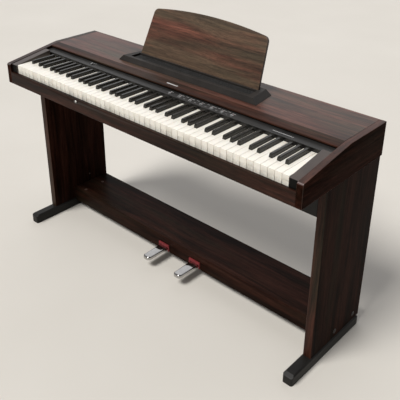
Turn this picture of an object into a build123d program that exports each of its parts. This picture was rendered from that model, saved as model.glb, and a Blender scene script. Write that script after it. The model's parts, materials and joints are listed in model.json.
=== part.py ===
from build123d import *
from math import atan2, cos, degrees, hypot, radians, sin
import os

# Digital piano on a flat-pack stand. Millimetres, +Z up, +X towards the treble end, -Y towards
# the player. The origin is on the floor under the middle of the instrument.
# Distances called *_y run back from the front face of the body; back() turns them into Y.

# ---------------------------------------------------------------- driving dimensions
# keyboard
key_pitch = 23.55
white_key_count = 52
key_gap = 0.95
key_front_y = 12.65
black_front_y = 60.7
black_back_y = 168.0
white_tail_y = 168.0
key_arm_end_y = 231.0
key_arm_width = 8.6
white_top = 711.0
key_underside = 693.0
key_arm_top = 705.0
key_skirt_bottom = 668.0
key_skirt_thickness = 3.0
black_height = 12.0
black_width = 11.2
black_gap = 1.0
pivot_y = 222.0
pivot_z = 699.0
pivot_radius = 2.0
running_clearance = 0.06

# body
body_width = 1327.0
body_depth = 420.0
body_bottom = 635.0
body_top = 745.0
side_thickness = 21.0
side_front_top = 710.0
side_bend_y = 225.0
rail_thickness = 11.6
rail_top = 680.0
indicator_proud = 1.2
board_thickness = 15.0
top_thickness = 12.0
nose_y = 191.0
rear_thickness = 12.0
cheek_front_y = 8.0
cheek_back_y = 161.0
cheek_drop = 1.5

# control panel
panel_front_y = 162.0
panel_back_y = 208.0
panel_front_z = 727.0
panel_rise = 3.0
panel_thickness = 2.4
panel_lip = (169.2, 170.8, 707.0)
button_row_y = 175.0
button_size = (12.0, 5.0)
button_proud = 1.6
button_clearance = 0.4
button_names = {
    "power_button": 20.0,
    "demo_button": 65.0,
    "piano_button": 112.0,
    "organ_button": 158.0,
    "strings_button": 203.0,
    "metronome_button": 245.0,
    "record_button": 284.0,
}
slider_x = -382.0
slider_y = 177.0
slider_slot = (27.0, 3.0)

# music rest and its tray
tray_front = (316.0, 250.0)
tray_back = (300.0, 350.0)
tray_height = 19.0
tray_bevel = (18.0, 7.0)
rest_tilt = 22.0
rest_foot_y = 319.0
rest_foot_z = 765.0
rest_thickness = 9.0
rest_bottom_half = 270.0
rest_top_half = 254.0
rest_shoulder = 166.0
rest_crown = 185.0
rest_tongue = 10.0
rest_corner = 21.0
groove_clearance = 0.35

# stand
leg_thickness = 28.5
leg_outer_x = 663.0
leg_front_y = 127.5
leg_back_y = 412.0
foot_width = 36.4
foot_height = 37.0
foot_front_y = 26.0
foot_back_y = 409.0
foot_nose = (13.0, 8.0)
foot_bevel = 4.5
apron_thickness = 16.0
apron_bottom = 541.0
beam_front_y = 231.0
beam_back_y = 407.0
beam_bottom = 27.0
beam_top = 89.0
beam_board = 18.0
beam_edge_radius = 2.5
bolt_rows_y = (260.0, 371.0)
bolt_z = 62.0
bolt_radius = 3.0
hand_screw_rows_y = (230.0, 330.0)
hand_screw_x = 612.0

# pedals
pedal_spacing = 160.0
pedal_tip_y = 131.0
pedal_pivot_y = 335.0
pedal_pivot_z = 46.0
pedal_pin_radius = 3.0
pedal_top = 50.0
pedal_thickness = 13.0
pedal_tip_width = 34.0
pedal_root_width = 39.0
pedal_slot_width = 53.0
pedal_slot_top = 60.0

# ---------------------------------------------------------------- derived values
keyboard_width = key_pitch * white_key_count
side_inner_x = body_width / 2 - side_thickness
board_top = body_bottom + board_thickness
top_underside = body_top - top_thickness
leg_inner_x = leg_outer_x - leg_thickness
pedal_centres = (-pedal_spacing / 2, pedal_spacing / 2)
centre_y = (body_depth - indicator_proud) / 2
panel_angle = degrees(atan2(panel_rise, panel_back_y - panel_front_y))


def back(distance):
    """Y of a plane this far behind the front face of the body."""
    return distance - centre_y


def slope_z(distance):
    """Height of the sloping top edge of a side panel at a distance behind the front."""
    return side_front_top + (body_top - side_front_top) * distance / side_bend_y


def span(low, high):
    """Size and centre of the stretch from low to high."""
    return high - low, (high + low) / 2


def save(piece, name):
    """Label one finished piece and write it."""
    piece.part.label = name
    export_step(piece.part, f"parts/{name}.step")


def block(x_range, y_range, z_range):
    """A plain board between three pairs of planes, y measured from the front."""
    (dx, cx), (dy, cy), (dz, cz) = span(*x_range), span(*y_range), span(*z_range)
    with BuildPart() as board:
        with Locations((cx, back(cy), cz)):
            Box(dx, dy, dz)
    return board.part


def fastener(start, end, radius):
    """A plain round shank from one point to another."""
    axis = Vector(*end) - Vector(*start)
    with BuildPart() as shank:
        with BuildSketch(Plane(origin=start, z_dir=axis)):
            Circle(radius)
        extrude(amount=axis.length)
    return shank.part


panel_plane = Plane(
    origin=(0, back(panel_front_y), panel_front_z),
    x_dir=(1, 0, 0),
    z_dir=(0, -sin(radians(panel_angle)), cos(radians(panel_angle))),
)
rest_plane = Plane(
    origin=(0, back(rest_foot_y), rest_foot_z),
    x_dir=(1, 0, 0),
    z_dir=(0, -cos(radians(rest_tilt)), sin(radians(rest_tilt))),
)

# ---------------------------------------------------------------- keys
naturals = "CDEFGAB"
cde_step = 3 * key_pitch / 5
fgab_step = 4 * key_pitch / 7
sharp_offsets = {
    "C": 1.5 * cde_step,
    "D": 3.5 * cde_step,
    "F": 3 * key_pitch + 1.5 * fgab_step,
    "G": 3 * key_pitch + 3.5 * fgab_step,
    "A": 3 * key_pitch + 5.5 * fgab_step,
}


def octave_start(octave):
    """X of the left edge of an octave's C."""
    return key_pitch * (2 + 7 * (octave - 1)) - keyboard_width / 2


def natural_exists(letter, octave):
    number = 7 * octave + naturals.index(letter)
    return 5 <= number <= 56


def sharp_exists(letter, octave):
    following = naturals[naturals.index(letter) + 1]
    return letter in sharp_offsets and natural_exists(letter, octave) and natural_exists(following, octave)


def sharp_centre(letter, octave):
    return octave_start(octave) + sharp_offsets[letter]


def key_arm(centre):
    """The narrow arm at the back of a key, bored for the pivot rod."""
    arm_y = span(white_tail_y - 2, key_arm_end_y)
    arm_z = span(key_underside, key_arm_top)
    with BuildPart() as arm:
        with Locations((centre, back(arm_y[1]), arm_z[1])):
            Box(key_arm_width, arm_y[0], arm_z[0])
        with BuildSketch(Plane.YZ.offset(centre - key_arm_width)):
            with Locations((back(pivot_y), pivot_z)):
                Circle(pivot_radius + running_clearance)
        extrude(amount=2 * key_arm_width, mode=Mode.SUBTRACT)
    return arm.part


def white_key(letter, octave):
    """A natural: wide head, tail notched for its sharps, front skirt and pivot arm."""
    index = naturals.index(letter)
    left = octave_start(octave) + index * key_pitch + key_gap / 2
    right = left + key_pitch - key_gap
    before = naturals[index - 1] if index > 0 else ""
    tail_left, tail_right = left, right
    if before in sharp_offsets and natural_exists(before, octave):
        tail_left = sharp_centre(before, octave) + black_width / 2 + black_gap
    if letter in sharp_offsets and sharp_exists(letter, octave):
        tail_right = sharp_centre(letter, octave) - black_width / 2 - black_gap
    head_y = span(key_front_y, black_front_y - black_gap)
    tail_y = span(black_front_y - 2 * black_gap, white_tail_y)
    arm = key_arm((tail_left + tail_right) / 2)
    with BuildPart() as key:
        with BuildSketch(Plane.XY.offset(key_underside)):
            with Locations(((left + right) / 2, back(head_y[1]))):
                Rectangle(right - left, head_y[0])
            with Locations(((tail_left + tail_right) / 2, back(tail_y[1]))):
                Rectangle(tail_right - tail_left, tail_y[0])
        extrude(amount=white_top - key_underside)
        upright = key.edges().filter_by(Axis.Z).group_by(Axis.Y)[0]
        fillet(upright, radius=1.0)
        fillet(key.faces().sort_by(Axis.Z)[-1].edges(), radius=0.7)
        skirt_y = span(key_front_y + 0.4, key_front_y + 0.4 + key_skirt_thickness)
        skirt_z = span(key_skirt_bottom, key_underside + 1)
        with Locations(((left + right) / 2, back(skirt_y[1]), skirt_z[1])):
            Box(right - left - 0.8, skirt_y[0], skirt_z[0])
        add(arm)
    return key.part


def black_key(letter, octave):
    """A sharp: square body between the tails with a tapered, rounded cap on top."""
    centre = sharp_centre(letter, octave)
    body_y = span(black_front_y, black_back_y)
    arm = key_arm(centre)
    with BuildPart() as key:
        with BuildSketch(Plane.XY.offset(key_underside)):
            with Locations((centre, back(body_y[1]))):
                Rectangle(black_width, body_y[0])
        extrude(amount=white_top - key_underside)
        with BuildSketch(Plane.XY.offset(white_top)):
            with Locations((centre, back(black_front_y + 49.0))):
                Rectangle(black_width, 98.0)
        extrude(amount=black_height, taper=4.0)
        front_top = key.faces().sort_by(Axis.Z)[-1].edges().sort_by(Axis.Y)[0]
        chamfer(front_top, length=5.0, length2=3.0)
        fillet(key.faces().sort_by(Axis.Z)[-1].edges().filter_by(Axis.Y), radius=1.6)
        add(arm)
    return key.part


def natural_group(first_octave, last_octave):
    return [
        white_key(letter, octave)
        for octave in range(first_octave, last_octave + 1)
        for letter in naturals
        if natural_exists(letter, octave)
    ]


def sharp_group(first_octave, last_octave):
    return [
        black_key(letter, octave)
        for octave in range(first_octave, last_octave + 1)
        for letter in sharp_offsets
        if sharp_exists(letter, octave)
    ]


def make_keys():
    single_octave = 4
    groups = {
        "white_keys_bass": natural_group(0, 1),
        "white_keys_tenor": natural_group(2, 3),
        "white_keys_treble": natural_group(5, 6),
        "white_keys_top": natural_group(7, 8),
        "black_keys_low": sharp_group(0, 3),
        "black_keys_high": sharp_group(5, 8),
    }
    for letter in naturals:
        groups[f"key_{letter.lower()}{single_octave}"] = [white_key(letter, single_octave)]
    for letter in sharp_offsets:
        groups[f"key_{letter.lower()}_sharp{single_octave}"] = [black_key(letter, single_octave)]
    for name, keys in groups.items():
        with BuildPart() as group:
            add(keys)
        save(group, name)


def make_key_action():
    """Chassis with guide rail, contact ledge and rod ears, then rod, contact strip and felt."""
    floor_z = board_top + 2
    plate = block((-612, 612), (24, 240), (floor_z, floor_z + 3))
    spacers = [block((x - 15, x + 15), (40, 230), (board_top, floor_z)) for x in (-560, -280, 0, 280, 560)]
    guide = block((-612, 612), (28, 42), (floor_z + 3, rail_top))
    ledge = block((-612, 612), (102, 138), (floor_z + 3, 672))
    ear_places = [octave_start(octave) for octave in range(1, 9)]
    ear_places += [-keyboard_width / 2 + 1.3, keyboard_width / 2 - 1.3]
    ears = [block((x - 1.2, x + 1.2), (212, 236), (floor_z + 3, pivot_z + 6)) for x in ear_places]
    with BuildPart() as key_chassis:
        add([plate, guide, ledge] + spacers + ears)
        with BuildSketch(Plane.YZ.offset(-body_width / 2)):
            with Locations((back(pivot_y), pivot_z)):
                Circle(pivot_radius + 0.02)
        extrude(amount=body_width, mode=Mode.SUBTRACT)
    save(key_chassis, "key_chassis")

    with BuildPart() as key_pivot_rod:
        with BuildSketch(Plane.YZ.offset(-keyboard_width / 2)):
            with Locations((back(pivot_y), pivot_z)):
                Circle(pivot_radius)
        extrude(amount=keyboard_width)
    save(key_pivot_rod, "key_pivot_rod")

    board = block((-610, 610), (104, 136), (672, 673.6))
    strip = block((-608, 608), (114, 128), (673.6, 686))
    with BuildPart() as key_contact_board:
        add([board, strip])
    save(key_contact_board, "key_contact_board")

    with BuildPart() as key_stop_felt:
        add(block((-611, 611), (29, 41), (rail_top, 683.6)))
    save(key_stop_felt, "key_stop_felt")


# ---------------------------------------------------------------- body
def make_side_panels():
    profile = [
        (back(0), body_bottom),
        (back(0), side_front_top),
        (back(side_bend_y), body_top),
        (back(body_depth), body_top),
        (back(body_depth), body_bottom),
    ]
    for name, inner_x in (("side_panel_left", -body_width / 2), ("side_panel_right", side_inner_x)):
        with BuildPart() as side_panel:
            with BuildSketch(Plane.YZ.offset(inner_x)) as outline:
                with BuildLine():
                    Polyline(*profile, close=True)
                make_face()
                nose = outline.vertices().group_by(Axis.X)[0].sort_by(Axis.Y)[-1]
                fillet(nose, radius=7.0)
            extrude(amount=side_thickness)
            outer = side_panel.faces().filter_by(Axis.X)
            chamfer([edge for face in outer for edge in face.edges()], length=0.8)
        save(side_panel, name)


def make_cheek_blocks():
    """Black blocks between the end keys and the side panels, stepped over the front rail."""
    inner = keyboard_width / 2 + 1.2
    profile = [
        (back(rail_thickness + 0.2), board_top),
        (back(rail_thickness + 0.2), rail_top + 0.2),
        (back(cheek_front_y), rail_top + 0.2),
        (back(cheek_front_y), slope_z(cheek_front_y) - cheek_drop),
        (back(cheek_back_y), slope_z(cheek_back_y) - cheek_drop),
        (back(cheek_back_y), board_top),
    ]
    with BuildPart() as cheek_blocks:
        for low_x in (-side_inner_x, inner):
            with BuildSketch(Plane.YZ.offset(low_x)):
                with BuildLine():
                    Polyline(*profile, close=True)
                make_face()
            extrude(amount=side_inner_x - inner)
        top_edges = cheek_blocks.faces().filter_by(lambda face: face.normal_at().Z > 0.9).edges()
        fillet(top_edges.filter_by(lambda edge: abs(edge.tangent_at(0).Y) > 0.5), radius=0.8)
    save(cheek_blocks, "cheek_blocks")


def make_front_rail():
    """Key slip in front of the naturals, with the power indicator's lens let into its face."""
    lens_x, lens_z, lens_size, lens_depth = -257.0, 670.5, (14.0, 11.0), 4.0
    with BuildPart() as front_rail:
        add(block((-side_inner_x, side_inner_x), (0, rail_thickness), (body_bottom, rail_top)))
        front_top = front_rail.edges().filter_by(Axis.X).group_by(Axis.Z)[-1].sort_by(Axis.Y)[0]
        fillet(front_top, radius=2.0)
        with BuildSketch(Plane.XZ.offset(-back(0))):
            with Locations((lens_x, lens_z)):
                RectangleRounded(*lens_size, 3)
        extrude(amount=-lens_depth, mode=Mode.SUBTRACT)
    save(front_rail, "front_rail")

    with BuildPart() as power_indicator:
        with BuildSketch(Plane.XZ.offset(-back(lens_depth))):
            with Locations((lens_x, lens_z)):
                RectangleRounded(*lens_size, 3)
        extrude(amount=lens_depth + indicator_proud)
        fillet(power_indicator.faces().sort_by(Axis.Y)[0].edges(), radius=0.8)
    save(power_indicator, "power_indicator")


def make_bottom_board():
    """Keybed with slots under each speaker and holes for the hand screws."""
    with BuildPart() as bottom_board:
        add(block((-side_inner_x, side_inner_x), (rail_thickness, body_depth), (body_bottom, board_top)))
        with BuildSketch(Plane.XY.offset(body_bottom)):
            for speaker_x in (-430, 430):
                with Locations((speaker_x, back(310))):
                    with GridLocations(12, 0, 8, 1):
                        SlotOverall(80, 6, rotation=90)
            with Locations(*[(s * hand_screw_x, back(y)) for s in (-1, 1) for y in hand_screw_rows_y]):
                Circle(bolt_radius + 0.2)
        extrude(amount=board_thickness, mode=Mode.SUBTRACT)
    save(bottom_board, "bottom_board")


def make_rear_panel():
    """Back board with a cut-out, and behind it the plate that carries the sockets."""
    socket_x, socket_z = -360.0, 685.0
    front_face_y = body_depth - rear_thickness
    with BuildPart() as rear_panel:
        add(block((-side_inner_x, side_inner_x), (front_face_y, body_depth), (board_top, top_underside)))
        with BuildSketch(Plane.XZ.offset(-back(body_depth))):
            with Locations((socket_x, socket_z)):
                RectangleRounded(120, 34, 4)
        extrude(amount=rear_thickness, mode=Mode.SUBTRACT)
    save(rear_panel, "rear_panel")

    with BuildPart() as rear_sockets:
        with BuildSketch(Plane.XZ.offset(-back(front_face_y))):
            with Locations((socket_x, socket_z)):
                RectangleRounded(136, 46, 3)
        extrude(amount=2)
        with BuildSketch(Plane.XZ.offset(-back(front_face_y))):
            with Locations((socket_x, socket_z)):
                with GridLocations(28, 0, 4, 1):
                    Circle(7)
        extrude(amount=-5)
        with BuildSketch(Plane.XZ.offset(-back(front_face_y + 5))):
            with Locations((socket_x, socket_z)):
                with GridLocations(28, 0, 4, 1):
                    Circle(3.2)
        extrude(amount=3.5, mode=Mode.SUBTRACT)
    save(rear_sockets, "rear_sockets")


def make_top_panel():
    """Level lid board whose front slopes down to a thin rounded nose."""
    profile = [
        (back(nose_y), top_underside),
        (back(nose_y), slope_z(nose_y)),
        (back(side_bend_y), body_top),
        (back(body_depth), body_top),
        (back(body_depth), top_underside),
    ]
    with BuildPart() as top_panel:
        with BuildSketch(Plane.YZ.offset(-side_inner_x)) as outline:
            with BuildLine():
                Polyline(*profile, close=True)
            make_face()
            fillet(outline.vertices().group_by(Axis.X)[0], radius=2.6)
        extrude(amount=2 * side_inner_x)
    save(top_panel, "top_panel")

    badge_y = 207.0
    slope_plane = Plane(
        origin=(0, back(badge_y), slope_z(badge_y)),
        x_dir=(1, 0, 0),
        z_dir=(0, side_front_top - body_top, side_bend_y),
    )
    with BuildPart() as badge_bar:
        with BuildSketch(slope_plane):
            RectangleRounded(50, 6, 1)
        extrude(amount=1.0)
        chamfer(badge_bar.faces().sort_by(Axis.Z)[-1].edges(), length=0.3)
    save(badge_bar, "badge_bar")


def make_speakers():
    with BuildPart() as speakers:
        for speaker_x in (-430, 430):
            with BuildSketch(Plane.XY.offset(board_top)):
                with Locations((speaker_x, back(310))):
                    Circle(60)
                    Circle(46, mode=Mode.SUBTRACT)
            extrude(amount=4)
            with BuildSketch(Plane.XY.offset(board_top + 4)):
                with Locations((speaker_x, back(310))):
                    Circle(52)
            extrude(amount=26, taper=38)
            with BuildSketch(Plane.XY.offset(board_top + 30)):
                with Locations((speaker_x, back(310))):
                    Circle(34)
            extrude(amount=16)
    save(speakers, "speakers")


def make_main_board():
    plate = block((-150, 150), (270, 370), (board_top + 6, board_top + 7.6))
    posts = [
        fastener((x, back(y), board_top), (x, back(y), board_top + 6), 3.5)
        for x in (-140, 140)
        for y in (278, 362)
    ]
    chips = [
        block((x - 12, x + 12), (300, 324), (board_top + 7.6, board_top + 10)) for x in (-90, -30, 30)
    ]
    capacitors = [
        fastener((x, back(y), board_top + 7.6), (x, back(y), board_top + 26), 6.5)
        for x in (90, 110, 130)
        for y in (295, 315)
    ]
    with BuildPart() as main_circuit_board:
        add([plate] + posts + chips + capacitors)
    save(main_circuit_board, "main_circuit_board")


# ---------------------------------------------------------------- control panel
def panel_spot(x, distance):
    """Position of a control in the control panel's own plane."""
    return x, (distance - panel_front_y) / cos(radians(panel_angle))


def panel_z(distance):
    """Height of the panel's upper face at a distance behind the front."""
    return panel_front_z + panel_rise * (distance - panel_front_y) / (panel_back_y - panel_front_y)


def make_control_panel():
    """Moulded strip over the backs of the keys, with openings and a lip down behind the keys."""
    length = hypot(panel_back_y - panel_front_y, panel_rise)
    with BuildPart() as control_panel:
        with BuildSketch(panel_plane.offset(-panel_thickness)):
            with Locations((0, length / 2)):
                Rectangle(2 * side_inner_x, length)
        extrude(amount=panel_thickness)
        top_front = control_panel.edges().filter_by(Axis.X).group_by(Axis.Y)[0].sort_by(Axis.Z)[-1]
        fillet(top_front, radius=1.4)
        with BuildSketch(panel_plane):
            for x in button_names.values():
                with Locations(panel_spot(x, button_row_y)):
                    Rectangle(button_size[0] + 2 * button_clearance, button_size[1] + 2 * button_clearance)
            with Locations(panel_spot(slider_x, slider_y)):
                SlotOverall(*slider_slot)
        extrude(amount=-panel_thickness, mode=Mode.SUBTRACT)
        lip_front, lip_back, lip_bottom = panel_lip
        add(block((-side_inner_x, side_inner_x), (lip_front, lip_back), (lip_bottom, panel_z(lip_front) - 1)))
    save(control_panel, "control_panel")

    board_z = 717.0
    plate = block((-430, 330), (lip_back + 0.6, 206), (board_z, board_z + 1.6))
    switches = [
        block((x - 3, x + 3), (button_row_y - 3, button_row_y + 3), (board_z + 1.6, board_z + 3))
        for x in button_names.values()
    ]
    track = block((slider_x - 20, slider_x + 20), (slider_y - 4, slider_y + 4), (board_z + 1.6, board_z + 2.6))
    posts = [
        block((x - 2, x + 2), (201, 205), (board_z + 1.6, panel_z(201) - panel_thickness - 0.1))
        for x in (-300, -100, 320)
    ]
    with BuildPart() as panel_circuit_board:
        add([plate, track] + switches + posts)
    save(panel_circuit_board, "panel_circuit_board")


def make_buttons():
    flange_depth = panel_thickness + 0.4
    for name, x in button_names.items():
        with BuildPart() as button:
            with BuildSketch(panel_plane.offset(-flange_depth)):
                with Locations(panel_spot(x, button_row_y)):
                    RectangleRounded(*button_size, 0.9)
            extrude(amount=flange_depth + button_proud)
            fillet(button.faces().sort_by(Axis.Z)[-1].edges(), radius=0.5)
            with BuildSketch(panel_plane.offset(-flange_depth - 1)):
                with Locations(panel_spot(x, button_row_y)):
                    Rectangle(button_size[0] + 2.4, button_size[1] + 2.4)
            extrude(amount=1)
            with BuildSketch(panel_plane.offset(-flange_depth - 4.2)):
                with Locations(panel_spot(x, button_row_y)):
                    Circle(1.6)
            extrude(amount=3.4)
        save(button, name)


def make_volume_slider():
    stem_depth = 7.0
    with BuildPart() as volume_slider:
        with BuildSketch(panel_plane.offset(0.5)):
            with Locations(panel_spot(slider_x, slider_y)):
                RectangleRounded(6, 9, 1)
        extrude(amount=3.4, taper=6)
        with BuildSketch(panel_plane.offset(-stem_depth)):
            with Locations(panel_spot(slider_x, slider_y)):
                Rectangle(4, 2)
        extrude(amount=stem_depth + 0.6)
    save(volume_slider, "volume_slider")


# ---------------------------------------------------------------- music rest
def make_tray():
    """Flat tray with bevelled ends, a page stop and the slanted groove that holds the rest."""
    (front_half, front_y), (back_half, back_y) = tray_front, tray_back
    side_bevel, end_bevel = tray_bevel
    levels = [(body_top, 0, 0), (body_top + tray_height, side_bevel, end_bevel)]
    with BuildPart() as music_rest_tray:
        for height, side, end in levels:
            corners = [
                (-front_half + side, back(front_y + end)),
                (front_half - side, back(front_y + end)),
                (back_half - side, back(back_y - end)),
                (-back_half + side, back(back_y - end)),
            ]
            with BuildSketch(Plane.XY.offset(height)):
                with BuildLine():
                    Polyline(*corners, close=True)
                make_face()
        loft()
        ledge_y = span(270, 313)
        with Locations((0, back(ledge_y[1]), body_top + tray_height)):
            Box(2 * (back_half - side_bevel - 12), ledge_y[0], 12, mode=Mode.SUBTRACT)
        groove_width = 2 * (rest_bottom_half + groove_clearance)
        groove_low, groove_high = -rest_tongue - groove_clearance, 30.0
        with BuildSketch(rest_plane.offset(groove_clearance)):
            with Locations((0, (groove_low + groove_high) / 2)):
                Rectangle(groove_width, groove_high - groove_low)
        extrude(amount=-rest_thickness - 2 * groove_clearance, mode=Mode.SUBTRACT)
    save(music_rest_tray, "music_rest_tray")


def make_music_rest():
    bottom_half, shoulder_half = rest_bottom_half, rest_top_half
    with BuildPart() as music_rest:
        with BuildSketch(rest_plane) as outline:
            with BuildLine():
                Polyline(
                    (-shoulder_half, rest_shoulder),
                    (-bottom_half, 0),
                    (-bottom_half, -rest_tongue),
                    (bottom_half, -rest_tongue),
                    (bottom_half, 0),
                    (shoulder_half, rest_shoulder),
                )
                ThreePointArc((shoulder_half, rest_shoulder), (0, rest_crown), (-shoulder_half, rest_shoulder))
            make_face()
            fillet(outline.vertices().sort_by(Axis.Y)[-2:], radius=rest_corner)
        extrude(amount=-rest_thickness)
        rims = music_rest.faces().filter_by(rest_plane).sort_by(Axis.Y)
        fillet(rims[0].edges() + rims[-1].edges(), radius=1.5)
    save(music_rest, "music_rest")


# ---------------------------------------------------------------- stand
def make_legs():
    for side, sign in (("left", -1), ("right", 1)):
        x_range = sorted((sign * leg_inner_x, sign * leg_outer_x))
        with BuildPart() as leg:
            add(block(x_range, (leg_front_y, leg_back_y), (foot_height, body_bottom)))
            fillet(leg.edges().filter_by(Axis.Z), radius=2.0)
            with BuildSketch(Plane.YZ.offset(x_range[0])):
                with Locations(*[(back(y), bolt_z) for y in bolt_rows_y]):
                    Circle(bolt_radius + 0.2)
            extrude(amount=leg_thickness, mode=Mode.SUBTRACT)
        save(leg, f"leg_{side}")

        foot_x = sign * (leg_outer_x - leg_thickness / 2)
        half_width = foot_width / 2
        foot_y = (back(foot_front_y), back(foot_back_y))
        nose_length, nose_drop = foot_nose
        with BuildPart() as foot:
            with BuildSketch(Plane.YZ.offset(foot_x - half_width)):
                with BuildLine():
                    Polyline(
                        (foot_y[0], 0),
                        (foot_y[0], foot_height - nose_drop),
                        (foot_y[0] + nose_length, foot_height),
                        (foot_y[1] - nose_length, foot_height),
                        (foot_y[1], foot_height - nose_drop),
                        (foot_y[1], 0),
                        close=True,
                    )
                make_face()
            extrude(amount=foot_width)
            with BuildSketch(Plane.XZ.offset(-foot_y[1])):
                with BuildLine():
                    Polyline(
                        (foot_x - half_width, 0),
                        (foot_x - half_width, foot_height - foot_bevel),
                        (foot_x - half_width + foot_bevel, foot_height),
                        (foot_x + half_width - foot_bevel, foot_height),
                        (foot_x + half_width, foot_height - foot_bevel),
                        (foot_x + half_width, 0),
                        close=True,
                    )
                make_face()
            extrude(amount=foot_y[1] - foot_y[0], mode=Mode.INTERSECT)
            with BuildSketch():
                with Locations((foot_x, (foot_y[0] + foot_y[1]) / 2)):
                    RectangleRounded(foot_width, foot_y[1] - foot_y[0], 7)
            extrude(amount=foot_height, mode=Mode.INTERSECT)
        save(foot, f"foot_{side}")


def make_apron():
    with BuildPart() as stand_apron:
        y_range = (leg_front_y, leg_front_y + apron_thickness)
        add(block((-leg_inner_x, leg_inner_x), y_range, (apron_bottom, body_bottom)))
        chamfer(stand_apron.edges().filter_by(Axis.X), length=0.8)
    save(stand_apron, "stand_apron")


def make_pedal_beam():
    with BuildPart() as pedal_beam_front:
        y_range = (beam_front_y, beam_front_y + beam_board)
        add(block((-leg_inner_x, leg_inner_x), y_range, (beam_bottom, beam_top)))
        fillet(pedal_beam_front.edges().filter_by(Axis.X).group_by(Axis.Y)[0], radius=beam_edge_radius)
        with Locations(*[(x, back(beam_front_y), beam_bottom) for x in pedal_centres]):
            Box(pedal_slot_width, 3 * beam_board, 2 * (pedal_slot_top - beam_bottom), mode=Mode.SUBTRACT)
        notch_z = foot_height + 0.3 - beam_bottom
        with Locations(*[(s * leg_inner_x, back(beam_front_y), beam_bottom) for s in (-1, 1)]):
            Box(9.0, 3 * beam_board, 2 * notch_z, mode=Mode.SUBTRACT)
    save(pedal_beam_front, "pedal_beam_front")

    block_length = 46.0
    board_y = (beam_front_y + beam_board, beam_back_y)
    end_blocks = [
        block(sorted((s * (leg_inner_x - block_length), s * leg_inner_x)), board_y, (44, beam_top - 14))
        for s in (-1, 1)
    ]
    with BuildPart() as pedal_beam_top:
        add([block((-leg_inner_x, leg_inner_x), board_y, (beam_top - 15, beam_top))] + end_blocks)
        for low_x in (-leg_inner_x, leg_inner_x - block_length):
            with BuildSketch(Plane.YZ.offset(low_x)):
                with Locations(*[(back(y), bolt_z) for y in bolt_rows_y]):
                    Circle(bolt_radius + 0.2)
            extrude(amount=block_length, mode=Mode.SUBTRACT)
    save(pedal_beam_top, "pedal_beam_top")


def make_stand_fasteners():
    """Cap-headed bolts through the legs, steel brackets under the body and their hand screws."""
    shank_reach, cap_radius, cap_thickness = 36.0, 7.5, 1.4
    with BuildPart() as stand_bolts:
        for sign in (-1, 1):
            for y in bolt_rows_y:
                tip = (sign * (leg_inner_x - shank_reach), back(y), bolt_z)
                seat = (sign * leg_outer_x, back(y), bolt_z)
                cap_top = (sign * (leg_outer_x + cap_thickness), back(y), bolt_z)
                add([fastener(tip, seat, bolt_radius), fastener(seat, cap_top, cap_radius)])
    save(stand_bolts, "stand_bolts")

    sheet = 3.0
    with BuildPart() as body_brackets:
        for sign in (-1, 1):
            wall_x = sorted((sign * (leg_inner_x - sheet), sign * leg_inner_x))
            flange_x = sorted((sign * (leg_inner_x - 42), sign * leg_inner_x))
            add(block(wall_x, (205, 355), (590, body_bottom)))
            add(block(flange_x, (205, 355), (body_bottom - sheet, body_bottom)))
        with BuildSketch(Plane.XY.offset(body_bottom - sheet)):
            with Locations(*[(s * hand_screw_x, back(y)) for s in (-1, 1) for y in hand_screw_rows_y]):
                Circle(bolt_radius + 0.2)
        extrude(amount=sheet, mode=Mode.SUBTRACT)
    save(body_brackets, "body_brackets")

    knob_height = 14.0
    with BuildPart() as hand_screws:
        for x in (-hand_screw_x, hand_screw_x):
            for y in hand_screw_rows_y:
                seat = (x, back(y), body_bottom - sheet)
                knob = (x, back(y), body_bottom - sheet - knob_height)
                tip = (x, back(y), board_top)
                add([fastener(seat, tip, bolt_radius), fastener(knob, seat, 11.0)])
    save(hand_screws, "hand_screws")


# ---------------------------------------------------------------- pedals
def make_pedals():
    """Levers with a tapered, round-cornered foot plate and an eye at the pivot."""
    eye_radius = 6.0
    for name, x in zip(("soft_pedal", "damper_pedal"), pedal_centres):
        tip, root = pedal_tip_width / 2, pedal_root_width / 2
        with BuildPart() as pedal:
            with BuildSketch(Plane.XY.offset(pedal_top - pedal_thickness)) as outline:
                with BuildLine():
                    Polyline(
                        (x - tip, back(pedal_tip_y)),
                        (x - root, back(beam_front_y + 30)),
                        (x - root, back(pedal_pivot_y)),
                        (x + root, back(pedal_pivot_y)),
                        (x + root, back(beam_front_y + 30)),
                        (x + tip, back(pedal_tip_y)),
                        close=True,
                    )
                make_face()
                fillet(outline.vertices().group_by(Axis.Y)[0], radius=11.0)
            extrude(amount=pedal_thickness)
            front_rim = pedal.faces().sort_by(Axis.Z)[-1].edges().filter_by(lambda e: e.center().Y < back(200))
            fillet(front_rim, radius=5.0)
            with BuildSketch(Plane.YZ.offset(x - root)):
                with Locations((back(pedal_pivot_y), pedal_pivot_z)):
                    Circle(eye_radius)
            extrude(amount=2 * root)
            with BuildSketch(Plane.YZ.offset(x - root)):
                with Locations((back(pedal_pivot_y), pedal_pivot_z)):
                    Circle(pedal_pin_radius + running_clearance)
            extrude(amount=2 * root, mode=Mode.SUBTRACT)
        save(pedal, name)


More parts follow.
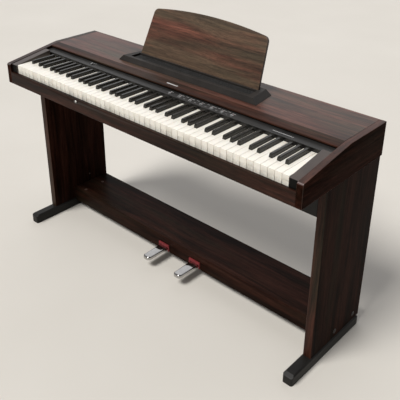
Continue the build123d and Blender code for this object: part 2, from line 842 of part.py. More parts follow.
def make_pedal_housing():
    """Sheet housing under the beam's top board with cheeks that hold one pivot pin."""
    top = beam_top - 15
    half = pedal_spacing / 2 + 44
    plate = block((-half, half), (251, 390), (top - 2, top))
    cheek_x = [x + s * (pedal_root_width / 2 + 3.5) for x in pedal_centres for s in (-1, 1)]
    cheeks = [block((x - 1, x + 1), (318, 352), (34, top - 2)) for x in cheek_x]
    spring_seats = [block((x - 8, x + 8), (270, 286), (62, top - 2)) for x in pedal_centres]
    pin_ends = [(x, back(pedal_pivot_y), pedal_pivot_z) for x in (min(cheek_x) - 4, max(cheek_x) + 4)]
    pin = fastener(*pin_ends, pedal_pin_radius)
    with BuildPart() as pedal_housing:
        add([plate, pin] + cheeks + spring_seats)
    save(pedal_housing, "pedal_housing")

    half_slot = pedal_slot_width / 2
    felt_y = (beam_front_y - 4.0, beam_front_y + beam_board)
    felt_thickness = 3.5
    with BuildPart() as pedal_felts:
        for x in pedal_centres:
            add(block((x - half_slot, x + half_slot), felt_y, (pedal_top + 0.5, pedal_slot_top)))
            for side_x in (x - half_slot, x + half_slot - felt_thickness):
                add(block((side_x, side_x + felt_thickness), felt_y, (beam_bottom + 6, pedal_slot_top)))
    save(pedal_felts, "pedal_felts")


os.makedirs("parts", exist_ok=True)
make_keys()
make_key_action()
make_side_panels()
make_cheek_blocks()
make_front_rail()
make_bottom_board()
make_rear_panel()
make_top_panel()
make_speakers()
make_main_board()
make_control_panel()
make_buttons()
make_volume_slider()
make_tray()
make_music_rest()
make_legs()
make_apron()
make_pedal_beam()
make_stand_fasteners()
make_pedals()
make_pedal_housing()
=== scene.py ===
import json
from math import atan2, cos, pi, radians, sin

import bmesh
import bpy
from mathutils import Matrix, Vector


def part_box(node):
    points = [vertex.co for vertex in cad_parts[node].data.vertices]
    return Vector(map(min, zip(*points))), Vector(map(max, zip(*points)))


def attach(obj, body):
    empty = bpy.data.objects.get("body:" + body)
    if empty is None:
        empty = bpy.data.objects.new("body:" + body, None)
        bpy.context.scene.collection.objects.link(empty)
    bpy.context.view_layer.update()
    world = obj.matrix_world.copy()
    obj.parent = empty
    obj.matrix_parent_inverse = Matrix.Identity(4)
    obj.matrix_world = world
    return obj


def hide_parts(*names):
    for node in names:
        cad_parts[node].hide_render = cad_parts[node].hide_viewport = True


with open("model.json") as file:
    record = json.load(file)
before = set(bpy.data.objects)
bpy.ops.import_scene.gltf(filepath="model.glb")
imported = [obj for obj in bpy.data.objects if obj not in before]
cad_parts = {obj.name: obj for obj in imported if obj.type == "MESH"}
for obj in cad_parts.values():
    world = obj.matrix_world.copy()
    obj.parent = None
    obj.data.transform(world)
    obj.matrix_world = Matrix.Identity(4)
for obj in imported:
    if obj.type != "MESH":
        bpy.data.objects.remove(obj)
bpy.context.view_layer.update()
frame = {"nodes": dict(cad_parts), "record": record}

nodes = frame["nodes"]
body_of_node = {
    node: body
    for body, members in frame["record"]["behaviour"]["bodies"].items()
    for node in members
}
mm = 0.001

# ---------------------------------------------------------------- materials


class Surface:
    """One procedural material: a Principled shader and the nodes that feed it."""

    def __init__(self, name, roughness=0.5, metallic=0.0, specular=0.5):
        self.material = bpy.data.materials.new(name)
        self.material.use_nodes = True
        self.tree = self.material.node_tree
        self.shader = self.tree.nodes["Principled BSDF"]
        self.shader.inputs["Roughness"].default_value = roughness
        self.shader.inputs["Metallic"].default_value = metallic
        self.shader.inputs["Specular IOR Level"].default_value = specular
        self.place = self.node("ShaderNodeTexCoord").outputs["Object"]

    def node(self, kind, **settings):
        made = self.tree.nodes.new(kind)
        for key, value in settings.items():
            setattr(made, key, value)
        return made

    def link(self, source, target):
        self.tree.links.new(source, target)

    def constant(self, socket, value):
        self.shader.inputs[socket].default_value = value

    def stretched(self, scale, offset=(0.0, 0.0, 0.0), source=None):
        """The object's own coordinates, scaled along each axis."""
        made = self.node("ShaderNodeMapping")
        made.inputs["Scale"].default_value = scale
        made.inputs["Location"].default_value = offset
        self.link(source or self.place, made.inputs["Vector"])
        return made.outputs["Vector"]

    def noise(self, scale, source=None, detail=3.0, roughness=0.5, distortion=0.0):
        made = self.node("ShaderNodeTexNoise")
        made.inputs["Scale"].default_value = scale
        made.inputs["Detail"].default_value = detail
        made.inputs["Roughness"].default_value = roughness
        made.inputs["Distortion"].default_value = distortion
        self.link(source or self.place, made.inputs["Vector"])
        return made

    def ramp(self, source, stops):
        """Colours by a value; stops are (position, (r, g, b))."""
        made = self.node("ShaderNodeValToRGB")
        points = made.color_ramp.elements
        while len(points) < len(stops):
            points.new(0.5)
        for point, (position, colour) in zip(points, stops):
            point.position = position
            point.color = (*colour, 1.0)
        self.link(source, made.inputs["Fac"])
        return made.outputs["Color"]

    def mixed(self, blend, factor, first, second):
        """first and second colours blended; each is a socket or (r, g, b), factor a socket or number."""
        made = self.node("ShaderNodeMix", data_type="RGBA", blend_type=blend)
        sockets = (made.inputs["Factor"], made.inputs[6], made.inputs[7])
        for socket, value in zip(sockets, (factor, first, second)):
            if isinstance(value, bpy.types.NodeSocket):
                self.link(value, socket)
            elif isinstance(value, tuple):
                socket.default_value = (*value, 1.0)
            else:
                socket.default_value = value
        return made.outputs[2]

    def spread(self, source, low, high):
        """A value from 0 to 1 moved into low to high."""
        made = self.node("ShaderNodeMapRange")
        made.inputs["To Min"].default_value = low
        made.inputs["To Max"].default_value = high
        self.link(source, made.inputs["Value"])
        return made.outputs["Result"]

    def colour(self, source):
        self.link(source, self.shader.inputs["Base Color"])

    def roughness(self, source, low, high):
        self.link(self.spread(source, low, high), self.shader.inputs["Roughness"])

    def bump(self, height, strength, distance=0.2 * mm):
        made = self.node("ShaderNodeBump")
        made.inputs["Strength"].default_value = strength
        made.inputs["Distance"].default_value = distance
        self.link(height, made.inputs["Height"])
        self.link(made.outputs["Normal"], self.shader.inputs["Normal"])


def grey(value):
    return (value, value, value)


def rosewood(name, grain, seed, shade=1.0, specular=0.5, coat=0.0, patched=(0.47, 0.63)):
    """Rosewood laminate: long wavy figure, red and olive streaks, dark pores along the grain axis; a
    lightness factor scales the colour, painting light and shade into each copy.
    """
    made = Surface(name, roughness=0.34, specular=specular)
    offset = (seed * 1.7, seed * 2.3, seed * 3.1)

    def along(length, across):
        scale = [across, across, across]
        scale[grain] = length
        return made.stretched(scale, offset, bent)

    sway = made.noise(2.6, detail=1.0)
    shift = made.node("ShaderNodeVectorMath", operation="MULTIPLY_ADD")
    made.link(sway.outputs["Color"], shift.inputs[0])
    shift.inputs[1].default_value = (0.035, 0.035, 0.035)
    made.link(made.place, shift.inputs[2])
    bent = shift.outputs["Vector"]

    figure = made.noise(1.0, along(2.2, 26.0), detail=5.0, roughness=0.62, distortion=0.5)
    tones = made.ramp(
        figure.outputs["Fac"],
        [
            (0.30, (0.018 * shade, 0.008 * shade, 0.005 * shade)),
            (0.44, (0.055 * shade, 0.023 * shade, 0.014 * shade)),
            (0.55, (0.100 * shade, 0.036 * shade, 0.023 * shade)),
            (0.70, (0.128 * shade, 0.052 * shade, 0.034 * shade)),
        ],
    )
    patches = made.noise(1.0, along(1.3, 12.0), detail=3.0, roughness=0.55)
    olive = made.ramp(patches.outputs["Fac"], [(patched[0], grey(0.0)), (patched[1], grey(0.8))])
    stained = made.mixed("MIX", olive, tones, (0.055 * shade, 0.041 * shade, 0.025 * shade))
    stripes = made.noise(1.0, along(3.0, 95.0), detail=3.0, roughness=0.6)
    lined = made.ramp(stripes.outputs["Fac"], [(0.36, grey(0.50)), (0.58, grey(1.0))])
    streaked = made.mixed("MULTIPLY", 1.0, stained, lined)
    pores = made.noise(1.0, along(22.0, 900.0), detail=2.0, roughness=0.6)
    pored = made.ramp(pores.outputs["Fac"], [(0.40, grey(0.45)), (0.50, grey(1.0))])
    made.colour(made.mixed("MULTIPLY", 0.8, streaked, pored))
    made.roughness(pores.outputs["Fac"], 0.44, 0.30)
    made.bump(pored, 0.12, 0.06 * mm)
    made.constant("Coat Weight", coat)
    made.constant("Coat Roughness", 0.28)
    return made.material


def satin_black(name, base, low, high, grain=1500.0, strength=0.12, specular=0.5):
    """Black paint or plastic with a fine leathery grain and faint uneven gloss."""
    made = Surface(name, specular=specular)
    fine = made.noise(grain, detail=2.0)
    broad = made.noise(9.0, detail=4.0, roughness=0.6)
    made.colour(
        made.ramp(
            broad.outputs["Fac"],
            [(0.35, tuple(0.8 * c for c in base)), (0.65, tuple(1.25 * c for c in base))],
        )
    )
    made.roughness(broad.outputs["Fac"], low, high)
    made.bump(fine.outputs["Fac"], strength, 0.05 * mm)
    return made.material


def ivory():
    """White key plastic: warm, slightly mottled, polished."""
    made = Surface("white_key_plastic", roughness=0.2)
    mottle = made.noise(28.0, detail=4.0, roughness=0.6)
    made.colour(
        made.ramp(
            mottle.outputs["Fac"],
            [(0.35, (0.86, 0.82, 0.735)), (0.65, (0.89, 0.855, 0.775))],
        )
    )
    wear = made.noise(160.0, detail=3.0)
    made.roughness(wear.outputs["Fac"], 0.16, 0.30)
    made.constant("Subsurface Weight", 0.06)
    made.constant("Subsurface Radius", (1.2 * mm, 0.9 * mm, 0.6 * mm))
    made.constant("Coat Weight", 0.25)
    made.constant("Coat Roughness", 0.12)
    return made.material


def ebony():
    """Black key plastic: dark, with a fine brushed figure along the key."""
    made = Surface("black_key_plastic", roughness=0.24)
    brushed = made.noise(1.0, made.stretched((2600.0, 60.0, 900.0)), detail=2.0)
    made.colour(
        made.ramp(
            brushed.outputs["Fac"],
            [(0.35, (0.011, 0.010, 0.008)), (0.70, (0.027, 0.025, 0.020))],
        )
    )
    made.roughness(brushed.outputs["Fac"], 0.20, 0.34)
    made.bump(brushed.outputs["Fac"], 0.10, 0.03 * mm)
    return made.material


def metal(name, colour, low, high, stretch=(300.0, 300.0, 300.0), strength=0.05):
    """Bare or plated metal, with fine marks that are longest along the axis stretched least."""
    made = Surface(name, metallic=1.0)
    marks = made.noise(1.0, made.stretched(stretch), detail=3.0, roughness=0.6)
    smudges = made.noise(45.0, detail=4.0, roughness=0.65)
    made.colour(
        made.ramp(
            smudges.outputs["Fac"],
            [(0.30, tuple(0.82 * c for c in colour)), (0.70, colour)],
        )
    )
    made.roughness(smudges.outputs["Fac"], low, high)
    made.bump(marks.outputs["Fac"], strength, 0.02 * mm)
    return made.material


def red_felt():
    """Pressed wool felt."""
    made = Surface("red_wool_felt", roughness=0.95, specular=0.2)
    fibres = made.noise(1400.0, detail=4.0, roughness=0.7, distortion=1.5)
    clumps = made.noise(180.0, detail=3.0)
    base = made.ramp(
        clumps.outputs["Fac"],
        [(0.35, (0.15, 0.010, 0.014)), (0.65, (0.26, 0.022, 0.027))],
    )
    shading = made.ramp(fibres.outputs["Fac"], [(0.3, grey(0.4)), (0.6, grey(1.0))])
    made.colour(made.mixed("MULTIPLY", 0.5, base, shading))
    made.bump(fibres.outputs["Fac"], 0.7, 0.3 * mm)
    made.constant("Sheen Weight", 0.15)
    made.constant("Sheen Roughness", 0.5)
    return made.material


def chipboard():
    """Stained particle board: chips of several tones, pressed flat."""
    made = Surface("particle_board", roughness=0.85, specular=0.25)
    chips = made.node("ShaderNodeTexVoronoi")
    chips.inputs["Scale"].default_value = 420.0
    made.link(made.stretched((1.0, 0.55, 1.0)), chips.inputs["Vector"])
    tones = made.node("ShaderNodeSeparateColor")
    made.link(chips.outputs["Color"], tones.inputs["Color"])
    made.colour(
        made.ramp(
            tones.outputs["Red"],
            [(0.0, (0.040, 0.024, 0.014)), (0.5, (0.085, 0.054, 0.032)), (1.0, (0.140, 0.095, 0.058))],
        )
    )
    made.bump(chips.outputs["Distance"], 0.3, 0.2 * mm)
    return made.material


def lacquered_circuit():
    """Green circuit lacquer over copper tracks."""
    made = Surface("circuit_lacquer", roughness=0.35)
    tracks = made.node("ShaderNodeTexVoronoi", feature="DISTANCE_TO_EDGE")
    tracks.inputs["Scale"].default_value = 130.0
    made.link(made.place, tracks.inputs["Vector"])
    made.colour(
        made.ramp(
            tracks.outputs["Distance"],
            [(0.05, (0.020, 0.105, 0.040)), (0.12, (0.010, 0.055, 0.022))],
        )
    )
    made.bump(tracks.outputs["Distance"], 0.2, 0.1 * mm)
    return made.material


def moulded(name, dark, light, low, high, grain=900.0, strength=0.15):
    """Plain moulded plastic or rubber in two near tones."""
    made = Surface(name)
    tone = made.noise(60.0, detail=3.0)
    fine = made.noise(grain, detail=2.0)
    made.colour(made.ramp(tone.outputs["Fac"], [(0.35, dark), (0.65, light)]))
    made.roughness(tone.outputs["Fac"], low, high)
    made.bump(fine.outputs["Fac"], strength, 0.05 * mm)
    return made.material


def clear_lens(painted_glint_point, painted_glint_radius):
    """A smoked lens: dark, glossy, faintly cloudy, with a pale round painted highlight near one corner.
    """
    made = Surface("indicator_lens", roughness=0.08)
    cloud = made.noise(700.0, detail=2.0)
    smoke = made.ramp(
        cloud.outputs["Fac"],
        [(0.3, (0.010, 0.009, 0.008)), (0.7, (0.022, 0.020, 0.018))],
    )
    # The painted highlight: a pale round patch mixed into the smoke.
    painted_glint = made.node("ShaderNodeTexGradient", gradient_type="SPHERICAL")
    shift = tuple(-value / painted_glint_radius for value in painted_glint_point)
    made.link(made.stretched((1.0 / painted_glint_radius,) * 3, shift), painted_glint.inputs["Vector"])
    lit = made.ramp(painted_glint.outputs["Fac"], [(0.05, grey(0.0)), (0.35, grey(1.0))])
    made.colour(made.mixed("MIX", lit, smoke, (0.88, 0.86, 0.82)))
    made.constant("Coat Weight", 0.8)
    made.constant("Coat Roughness", 0.04)
    return made.material


X, Y, Z = 0, 1, 2
# One rosewood laminate in copies of different lightness: each part's colour is scaled to paint in light
# and shade, so the rail, the beam and the legs are painted darker than the top.
wood_top = rosewood("rosewood_top", X, 1.0, shade=1.3, specular=0.40, coat=0.06)
# The nose band's copy is painted darker: the painted reflection of a dark room in front.
wood_nose_painted_reflection = rosewood("rosewood_nose_painted_reflection", X, 2.0, shade=0.72, specular=0.12)
# The music rest's copy is painted lighter and paler: painted glare.
wood_rest_painted_light = rosewood("rosewood_rest_painted_light", X, 4.0, shade=1.95, specular=0.45, patched=(0.36, 0.56))
wood_rail = rosewood("rosewood_rail", X, 7.0, shade=0.42, specular=0.10)
wood_beam = rosewood("rosewood_beam", X, 9.0, shade=0.30, specular=0.03)
wood_side = rosewood("rosewood_side", Y, 11.0, shade=0.8, specular=0.3)
wood_leg = rosewood("rosewood_leg", Z, 13.0, shade=0.58, specular=0.10)
# Darker copies for the broad side faces of the side panels and legs: painted shade.
wood_side_face_painted_shade = rosewood("rosewood_side_face_painted_shade", Y, 15.0, shade=0.34, specular=0.004, patched=(0.52, 0.70))
wood_gloss = rosewood("rosewood_gloss", X, 19.0, shade=0.8, specular=0.7, coat=0.9)
# The legs' broad faces: painted shade.
wood_leg_face_painted_shade = rosewood("rosewood_leg_face_painted_shade", Z, 17.0, shade=0.32, specular=0.010, patched=(0.52, 0.70))
black_paint = satin_black("black_paint", (0.011, 0.010, 0.009), 0.40, 0.52, grain=700.0, specular=0.20)
black_panel = satin_black("black_panel_plastic", (0.022, 0.021, 0.020), 0.36, 0.48, specular=0.42)
black_tray = satin_black("black_tray_plastic", (0.026, 0.023, 0.021), 0.46, 0.58, specular=0.20)
# A near-black copy of the black plastic: painted shade for the tray's sunk ledge floor and the cheek
# blocks' set-back fronts.
black_painted_shade = satin_black("black_plastic_painted_shade", (0.005, 0.0045, 0.004), 0.40, 0.52, specular=0.07)
# The cheek blocks' black plastic is painted lighter and warm brown: the painted reflection of a pale
# wall.
black_cheek_painted_reflection = satin_black("black_cheek_plastic_painted_reflection", (0.046, 0.033, 0.027), 0.30, 0.40, specular=0.6)
white_plastic = ivory()
black_plastic = ebony()
chrome = metal("polished_chrome", (0.52, 0.51, 0.50), 0.04, 0.12)
steel = metal("zinc_plated_steel", (0.52, 0.52, 0.53), 0.28, 0.45)
silver = metal("brushed_silver", (0.80, 0.79, 0.77), 0.22, 0.34, (40.0, 3000.0, 3000.0))
felt = red_felt()
board = chipboard()
circuit = lacquered_circuit()
rubber = moulded("silicone_rubber", grey(0.012), grey(0.020), 0.50, 0.65)
grey_plastic = moulded("button_plastic", grey(0.20), grey(0.27), 0.35, 0.5)
dark_plastic = moulded("cap_plastic", (0.010, 0.006, 0.005), (0.016, 0.010, 0.008), 0.45, 0.6)
indicator_low, indicator_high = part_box("power_indicator")
# Where the lens's painted highlight sits, and how big it is.
painted_glint_from_right, painted_glint_from_top, painted_glint_size = 3.6 * mm, 3.2 * mm, 4.0 * mm
painted_glint_centre = Vector(
    (indicator_high.x - painted_glint_from_right, indicator_low.y, indicator_high.z - painted_glint_from_top)
)
lens = clear_lens(painted_glint_centre, painted_glint_size)
edge_band = moulded("edge_band_plastic", (0.022, 0.011, 0.008), (0.034, 0.018, 0.013), 0.35, 0.5)
cover_plastic = moulded("brown_cover_plastic", (0.034, 0.017, 0.012), (0.050, 0.025, 0.018), 0.45, 0.55)
print_ink = moulded("panel_print", grey(0.42), grey(0.55), 0.45, 0.55)
# Near-black print standing in for a recess: painted shade.
painted_recess_shade = moulded("panel_recess_painted_shade", grey(0.004), grey(0.008), 0.5, 0.6)
lamp_red = moulded("lamp_lens", (0.16, 0.012, 0.010), (0.24, 0.020, 0.015), 0.10, 0.18)

slot_materials = {
    "rosewood": wood_top,
    "black_wood": black_paint,
    "black_plastic": black_panel,
    "white_key": white_plastic,
    "black_key": black_plastic,
    "chrome": chrome,
    "steel": steel,
    "felt_red": felt,
    "circuit": circuit,
    "rubber": rubber,
    "clear_lens": lens,
    "board": board,
    "button_grey": grey_plastic,
    "silver": silver,
}
node_materials = {
    "music_rest": wood_rest_painted_light,
    "cheek_blocks": black_cheek_painted_reflection,
    "music_rest_tray": black_tray,
    "front_rail": wood_rail,
    "pedal_beam_front": wood_beam,
    "pedal_beam_top": wood_beam,
    "side_panel_left": wood_side,
    "side_panel_right": wood_side,
    "leg_left": wood_leg,
    "leg_right": wood_leg,
}


def slot_of(node):
    return nodes[node].material_slots[0].material.name.split(".")[0]


def finish_of(node):
    return node_materials.get(node) or slot_materials[slot_of(node)]


# ---------------------------------------------------------------- mesh tools


def add_piece(name, bm, body, material, smooth_angle=35.0):
    """Makes an object of the bmesh, in the row frame, riding on a body."""
    bmesh.ops.recalc_face_normals(bm, faces=bm.faces)
    mesh = bpy.data.meshes.new(name)
    bm.to_mesh(mesh)
    bm.free()
    mesh.materials.append(material)
    mesh.shade_smooth()
    mesh.set_sharp_from_angle(angle=radians(smooth_angle))
    made = bpy.data.objects.new(name, mesh)
    bpy.context.scene.collection.objects.link(made)
    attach(made, body)
    return made


def ease_edges(made, radius, segments=2, angle=30.0):
    """Rounds a piece's sharp edges inwards."""
    bevel = made.modifiers.new("eased_edges", "BEVEL")
    bevel.width = radius
    bevel.segments = segments
    bevel.limit_method = "ANGLE"
    bevel.angle_limit = radians(angle)
    bevel.use_clamp_overlap = True
    bevel.harden_normals = True
    bevel.miter_outer = "MITER_ARC"
    return made


def welded_copy(node):
    """The node's shape with its faces joined up and its flat faces whole."""
    bm = bmesh.new()
    bm.from_mesh(nodes[node].data)
    bmesh.ops.remove_doubles(bm, verts=bm.verts, dist=0.004 * mm)
    bmesh.ops.dissolve_limit(bm, angle_limit=radians(0.6), verts=bm.verts, edges=bm.edges)
    return bm


def eased(node, radius, segments=2):
    """Stands for a node, with its edges rounded."""
    made = add_piece(
        node + "_eased", welded_copy(node), body_of_node[node], finish_of(node)
    )
    ease_edges(made, radius, segments)
    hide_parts(node)
    return made


def add_lathe(bm, centre, axis, profile, steps=32):
    """A turned solid on an axis; profile is (radius, height) from the base to the crown."""
    turn = Vector((0, 0, 1)).rotation_difference(Vector(axis)).to_matrix()
    centre = Vector(centre)
    rings = []
    for radius, height in profile:
        if radius < 1e-7:
            rings.append([bm.verts.new(centre + turn @ Vector((0, 0, height)))])
            continue
        ring = []
        for step in range(steps):
            turned = 2 * pi * step / steps
            point = Vector((radius * cos(turned), radius * sin(turned), height))
            ring.append(bm.verts.new(centre + turn @ point))
        rings.append(ring)
    for lower, upper in zip(rings, rings[1:]):
        for step in range(steps):
            after = (step + 1) % steps
            corners = [
                lower[step % len(lower)],
                lower[after % len(lower)],
                upper[after % len(upper)],
                upper[step % len(upper)],
            ]
            unique = list(dict.fromkeys(corners))
            if len(unique) > 2:
                bm.faces.new(unique)
    for ring in (rings[0], rings[-1]):
        if len(ring) > 2:
            bm.faces.new(ring)


def add_bar(bm, low, high, chamfer, frame_matrix=None):
    """A bar between two corners with its top edges chamfered all round, optionally in another frame."""
    (x0, y0, z0), (x1, y1, z1) = low, high
    c = chamfer
    levels = [
        (x0, y0, x1, y1, z0),
        (x0, y0, x1, y1, z1 - c),
        (x0 + c, y0 + c, x1 - c, y1 - c, z1),
    ]
    rings = []
    for a, b, d, e, z in levels:
        ring = [Vector(p) for p in ((a, b, z), (d, b, z), (d, e, z), (a, e, z))]
        if frame_matrix:
            ring = [frame_matrix @ p for p in ring]
        rings.append([bm.verts.new(p) for p in ring])
    for lower, upper in zip(rings, rings[1:]):
        for k in range(4):
            m = (k + 1) % 4
            bm.faces.new((lower[k], lower[m], upper[m], upper[k]))
    bm.faces.new(rings[0])
    bm.faces.new(rings[-1])


# ---------------------------------------------------------------- rounded panels, keys and controls

eased_radii = {  # in millimetres
    "side_panel_left": 1.0,
    "side_panel_right": 1.0,
    "front_rail": 0.8,
    "top_panel": 0.8,
    "music_rest": 1.2,
    "leg_left": 1.0,
    "leg_right": 1.0,
    "pedal_beam_front": 1.0,
    "pedal_beam_top": 1.0,
    "stand_apron": 1.0,
    "foot_left": 0.9,
    "foot_right": 0.9,
    "cheek_blocks": 0.8,
    "music_rest_tray": 0.6,
    "bottom_board": 0.5,
    "rear_panel": 0.6,
    "soft_pedal": 1.4,
    "damper_pedal": 1.4,
    "volume_slider": 0.4,
    "badge_bar": 0.2,
}
white_key_edge, black_key_edge, button_edge = 0.5 * mm, 0.9 * mm, 0.35 * mm
for node, radius in eased_radii.items():
    eased(node, radius * mm)
for node in sorted(nodes):
    if node.startswith("white_keys") or (node.startswith("key_") and slot_of(node) == "white_key"):
        eased(node, white_key_edge)
    elif node.startswith("black_keys") or slot_of(node) == "black_key":
        eased(node, black_key_edge)
    elif node.endswith("_button"):
        eased(node, button_edge)

for node, shown in nodes.items():
    material = finish_of(node)
    for entry in shown.material_slots:
        entry.material = material

# ---------------------------------------------------------------- face and edge finishes, painted shade and reflection, tray ribs


def paint_faces(piece, material, chosen):
    """Gives a piece's chosen faces another material."""
    mesh = bpy.data.objects[piece].data
    mesh.materials.append(material)
    added = len(mesh.materials) - 1
    for face in mesh.polygons:
        if chosen(face):
            face.material_index = added


rest_tilt = radians(22.0)  # how far the music rest leans back
rest_normal = Vector((0.0, -cos(rest_tilt), sin(rest_tilt)))
paint_faces("music_rest_eased", edge_band, lambda face: abs(face.normal.dot(rest_normal)) < 0.5)
# The cheek blocks' fronts, set back in a notch, are painted near-black: painted shade.
paint_faces("cheek_blocks_eased", black_painted_shade, lambda face: face.normal.y < -0.9)
# The top panel's sloping nose band gets the darker copy: painted dark reflection.
paint_faces("top_panel_eased", wood_nose_painted_reflection, lambda face: face.normal.y < -0.1)
# The side panels' broad faces and front ends, and the legs' broad faces, get the darker copies: painted
# shade, on both sides alike.
for side in ("left", "right"):
    paint_faces(
        f"side_panel_{side}_eased",
        wood_side_face_painted_shade,
        lambda face: abs(face.normal.x) > 0.9 or face.normal.y < -0.9,
    )
    paint_faces(
        f"side_panel_{side}_eased",
        wood_gloss,
        lambda face: face.normal.y < -0.25 and face.normal.z > 0.25 and abs(face.normal.x) < 0.5,
    )
    paint_faces(f"leg_{side}_eased", wood_leg_face_painted_shade, lambda face: abs(face.normal.x) > 0.9)

tray_low, tray_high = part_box("music_rest_tray")
ledge_depth = 6.0 * mm
ledge_floor = tray_high.z - ledge_depth
ledge_inset, rib_margin = 20.0 * mm, 5.0 * mm
first_rib_y = tray_low.y + ledge_inset + rib_margin
# The ledge floor, sunk below the tray's top, is painted near-black: painted shade in the recess.
paint_faces(
    "music_rest_tray_eased",
    black_painted_shade,
    lambda face: face.center.z < tray_high.z - 0.5 * ledge_depth and face.normal.z > 0.9,
)
rib_half = 262.0 * mm
rib_width, rib_pitch, rib_height, rib_count = 2.4 * mm, 7.6 * mm, 1.1 * mm, 5
rib_chamfer, rib_sunk = 0.5 * mm, 0.2 * mm
ribs = bmesh.new()
for k in range(rib_count):
    y = first_rib_y + k * rib_pitch
    rib_low = (-rib_half, y, ledge_floor - rib_sunk)
    rib_high = (rib_half, y + rib_width, ledge_floor + rib_height)
    add_bar(ribs, rib_low, rib_high, rib_chamfer)
add_piece("tray_ribs", ribs, "root", rubber)

# ---------------------------------------------------------------- control panel marks

panel_low, panel_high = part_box("control_panel")
panel_rise, panel_depth = 3.0 * mm, panel_high.y - panel_low.y
panel_plane = Matrix.Translation((0, panel_low.y, panel_high.z - panel_rise)) @ Matrix.Rotation(
    atan2(panel_rise, panel_depth), 4, "X"
)
ink = 0.12 * mm
bar_sunk, bar_chamfer = 0.3 * mm, 0.04 * mm


def panel_bar(bm, x_range, y_range, proud=ink):
    """A thin bar on the panel; y runs up the slope from its front edge."""
    low = (x_range[0], y_range[0], -bar_sunk)
    high = (x_range[1], y_range[1], proud)
    add_bar(bm, low, high, bar_chamfer, panel_plane)


button_nodes = sorted(
    (node for node in nodes if node.endswith("_button")), key=lambda node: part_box(node)[0].x
)
button_row_x = [(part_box(node)[0].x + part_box(node)[1].x) / 2 for node in button_nodes]
upper_mark_half, upper_mark_y = 6.0 * mm, (24.0 * mm, 25.2 * mm)
lower_mark_half, lower_mark_y = 3.5 * mm, (8.6 * mm, 9.4 * mm)
shortest_label_half, label_half_step = 7.0, 2.5  # in millimetres; the lengths vary, as captions do
above_button, below_button = (9.0 * mm, 10.4 * mm), (-6.2 * mm, -5.3 * mm)
lamp_up_slope = 5.8 * mm
lamp_axis = panel_plane.to_3x3() @ Vector((0, 0, 1))
lamp_dome = [
    (1.2 * mm, -0.3 * mm),
    (1.2 * mm, 0.2 * mm),
    (0.9 * mm, 0.55 * mm),
    (0.45 * mm, 0.75 * mm),
    (0, 0.8 * mm),
]
labels = bmesh.new()
lamps = bmesh.new()
for before, after in zip(button_row_x[1:], button_row_x[2:]):
    between = (before + after) / 2
    panel_bar(labels, (between - upper_mark_half, between + upper_mark_half), upper_mark_y)
    panel_bar(labels, (between - lower_mark_half, between + lower_mark_half), lower_mark_y)
for k, node in enumerate(button_nodes):
    low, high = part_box(node)
    x, y = (low.x + high.x) / 2, (low.y + high.y) / 2 - panel_low.y
    half = (shortest_label_half + label_half_step * (k * 2 % 3)) * mm
    panel_bar(labels, (x - half, x + half), (y + above_button[0], y + above_button[1]))
    panel_bar(labels, (x - 0.5 * half, x + 0.5 * half), (y + below_button[0], y + below_button[1]))
    lamp_place = panel_plane @ Vector((x, y + lamp_up_slope, 0))
    add_lathe(lamps, lamp_place, lamp_axis, lamp_dome, steps=16)
slider_low, slider_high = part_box("volume_slider")
slider_x = (slider_low.x + slider_high.x) / 2
slider_y = (slider_low.y + slider_high.y) / 2 - panel_low.y
tick_pitch, tick_half = 4.5 * mm, 0.25 * mm
tick_y = slider_y + 4.0 * mm
long_tick, short_tick = 3.0 * mm, 1.8 * mm
slider_mark_half = 17.0 * mm
slider_mark_y = (slider_y + 10.0 * mm, slider_y + 10.8 * mm)
for k in range(-2, 3):
    x = slider_x + k * tick_pitch
    length = long_tick if k % 2 == 0 else short_tick
    panel_bar(labels, (x - tick_half, x + tick_half), (tick_y, tick_y + length))
panel_bar(labels, (slider_x - slider_mark_half, slider_x + slider_mark_half), slider_mark_y)
add_piece("panel_marks", labels, "root", print_ink)
add_piece("panel_lamps", lamps, "root", lamp_red)

inlay_x, inlay_y, inlay_proud = (436.0 * mm, 509.0 * mm), (12.2 * mm, 14.4 * mm), 0.3 * mm
inlay = bmesh.new()
panel_bar(inlay, inlay_x, inlay_y, inlay_proud)
add_piece("panel_inlay", inlay, "root", silver)
# A near-black strip beside the inlay, lying flat on the panel: the painted shade of a recess.
line_x = (inlay_x[0] - 4.0 * mm, inlay_x[1] - 6.0 * mm)
line_y, line_proud = (4.6 * mm, 7.4 * mm), 0.06 * mm
line = bmesh.new()
panel_bar(line, line_x, line_y, line_proud)
add_piece("panel_inlay_line", line, "root", painted_recess_shade)

# ---------------------------------------------------------------- caps on the stand


def cap_profile(radius, height):
    """A shallow button cap with a rounded rim."""
    rim = min(0.35 * radius, height)
    profile = [(radius, -0.4 * mm), (radius, height - rim)]
    for step in range(1, 4):
        turned = radians(30.0 * step)
        profile.append((radius - rim * (1 - cos(turned)), height - rim * (1 - sin(turned))))
    return profile + [(0.0, height)]


beam_top_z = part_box("pedal_beam_top")[1].z
leg_low, leg_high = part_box("leg_right")
bolt_low, bolt_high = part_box("stand_bolts")
bolt_radius = (bolt_high.z - bolt_low.z) / 2
bolt_z = (bolt_high.z + bolt_low.z) / 2
cover_x = 582.0 * mm
cover_rows = (42.0 * mm, 134.0 * mm)
beam_cover_cap = cap_profile(6.5 * mm, 0.9 * mm)
leg_cover_cap = cap_profile(4.5 * mm, 0.8 * mm)
leg_cover_y, leg_cover_z = 107.0 * mm, beam_top_z + 33.0 * mm
covers = bmesh.new()
for side in (-1, 1):
    for y in cover_rows:
        add_lathe(covers, (side * cover_x, y, beam_top_z), (0, 0, 1), beam_cover_cap)
    leg_cover_place = (side * leg_low.x, leg_cover_y, leg_cover_z)
    add_lathe(covers, leg_cover_place, (-side, 0, 0), leg_cover_cap)
add_piece("beam_screw_covers", covers, "root", cover_plastic)

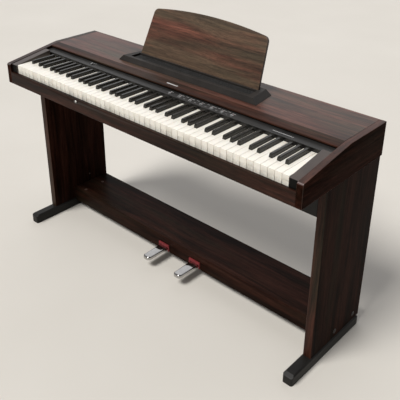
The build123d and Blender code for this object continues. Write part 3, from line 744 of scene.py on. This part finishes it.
bolt_cap = cap_profile(bolt_radius + 0.5 * mm, 1.9 * mm)
bolt_caps = bmesh.new()
for side in (-1, 1):
    for y in (bolt_low.y + bolt_radius, bolt_high.y - bolt_radius):
        place = (side * leg_high.x, y, bolt_z)
        add_lathe(bolt_caps, place, (side, 0, 0), bolt_cap)
add_piece("leg_bolt_caps", bolt_caps, "root", dark_plastic)

# ---------------------------------------------------------------- stage, light and camera

floor_size = 60.0
floor_material = Surface("pale_floor", roughness=0.6, specular=0.25)
floor_tone = floor_material.noise(1.3, detail=4.0)
floor_material.colour(
    floor_material.ramp(
        floor_tone.outputs["Fac"], [(0.3, (0.62, 0.59, 0.54)), (0.7, (0.65, 0.62, 0.57))]
    )
)
floor_mesh = bmesh.new()
bmesh.ops.create_grid(floor_mesh, x_segments=2, y_segments=2, size=floor_size / 2)
floor_data = bpy.data.meshes.new("studio_floor")
floor_mesh.to_mesh(floor_data)
floor_mesh.free()
floor_data.materials.append(floor_material.material)
floor = bpy.data.objects.new("studio_floor", floor_data)
bpy.context.scene.collection.objects.link(floor)

sun_direction = Vector((0.14, 0.58, -0.90))
sun_data = bpy.data.lights.new("broad_key_light", "SUN")
sun_data.energy = 3.1
sun_data.angle = radians(24.0)
sun_data.color = (1.0, 0.985, 0.96)
sun = bpy.data.objects.new("broad_key_light", sun_data)
sun.rotation_mode = "QUATERNION"
sun.rotation_quaternion = sun_direction.to_track_quat("-Z", "Y")
bpy.context.scene.collection.objects.link(sun)

# The surroundings are brightest above and behind the object, and dim on the side that the
# camera stands on; the backdrop itself shows as one pale tone.
backdrop_strength = 0.74
bright_side = (-0.60, 0.80, 0.0)
world = bpy.data.worlds.new("studio")
bpy.context.scene.world = world
world.use_nodes = True
studio = world.node_tree
background = studio.nodes["Background"]
background.inputs["Color"].default_value = (0.96, 0.96, 0.98, 1.0)


def world_node(kind, **settings):
    made = studio.nodes.new(kind)
    for key, value in settings.items():
        setattr(made, key, value)
    return made


def world_fade(source, start, end, low, high):
    """A smooth step of a direction's value."""
    made = world_node("ShaderNodeMapRange", interpolation_type="SMOOTHSTEP")
    for socket, value in zip(("From Min", "From Max", "To Min", "To Max"), (start, end, low, high)):
        made.inputs[socket].default_value = value
    studio.links.new(source, made.inputs["Value"])
    return made.outputs["Result"]


direction = world_node("ShaderNodeTexCoord").outputs["Generated"]
facing = world_node("ShaderNodeVectorMath", operation="DOT_PRODUCT")
facing.inputs[1].default_value = bright_side
studio.links.new(direction, facing.inputs[0])
height = world_node("ShaderNodeSeparateXYZ")
studio.links.new(direction, height.inputs["Vector"])
around = world_fade(facing.outputs["Value"], start=-0.4, end=0.9, low=0.14, high=1.0)
upwards = world_fade(height.outputs["Z"], start=0.04, end=0.34, low=0.26, high=0.95)
lit = world_node("ShaderNodeMath", operation="MULTIPLY")
studio.links.new(around, lit.inputs[0])
studio.links.new(upwards, lit.inputs[1])
seen = world_node("ShaderNodeMix", data_type="FLOAT")
studio.links.new(world_node("ShaderNodeLightPath").outputs["Is Camera Ray"], seen.inputs["Factor"])
studio.links.new(lit.outputs["Value"], seen.inputs["A"])
seen.inputs["B"].default_value = backdrop_strength
studio.links.new(seen.outputs["Result"], background.inputs["Strength"])

camera_place = Vector((1.41719, -1.42170, 1.52148))
camera_yaw = radians(42.32)
camera_pitch = radians(-26.12)
camera_roll = radians(0.36)
camera_lens = 58.378
camera_shift_y = -0.15

camera_data = bpy.data.cameras.new("camera")
camera_data.lens = camera_lens
camera_data.sensor_width = 36.0
camera_data.shift_y = camera_shift_y
camera = bpy.data.objects.new("camera", camera_data)
forward = Vector(
    (
        -sin(camera_yaw) * cos(camera_pitch),
        cos(camera_yaw) * cos(camera_pitch),
        sin(camera_pitch),
    )
)
level = forward.cross(Vector((0, 0, 1))).normalized()
upward = level.cross(forward)
right = level * cos(camera_roll) + upward * sin(camera_roll)
up = upward * cos(camera_roll) - level * sin(camera_roll)
camera_turn = Matrix((right, up, -forward)).transposed().to_4x4()
camera.matrix_world = Matrix.Translation(camera_place) @ camera_turn
bpy.context.scene.collection.objects.link(camera)
bpy.context.scene.camera = camera
bpy.context.scene.view_settings.view_transform = "Standard"
